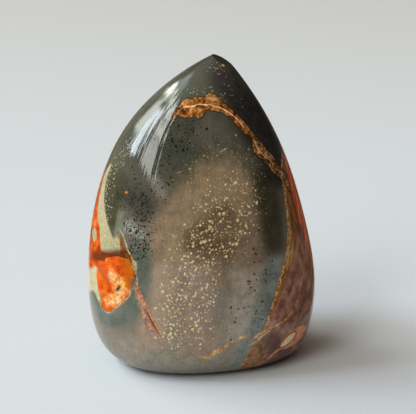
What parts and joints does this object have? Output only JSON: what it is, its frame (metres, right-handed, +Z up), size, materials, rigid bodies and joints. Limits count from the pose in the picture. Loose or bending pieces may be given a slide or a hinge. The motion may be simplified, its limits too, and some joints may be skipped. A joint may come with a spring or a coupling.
{
  "type": "polished jasper flame",
  "caption": "Polished freeform of polychrome jasper, a flame shape with a round belly, a blunt leaning point and a flat cut base to stand on.",
  "frame": {"origin": "on the plane of the flat base, under the middle of the stone's box", "axes": "+Z up through the point, +X along the wide side and to the right of the face that is shown, -Y out of that face"},
  "size_m": [0.0578, 0.0404, 0.0776],
  "materials": {
    "polished_jasper": "polished"
  },
  "bodies": {
    "root": {"jasper_flame": "polished_jasper"}
  },
  "joints": []
}
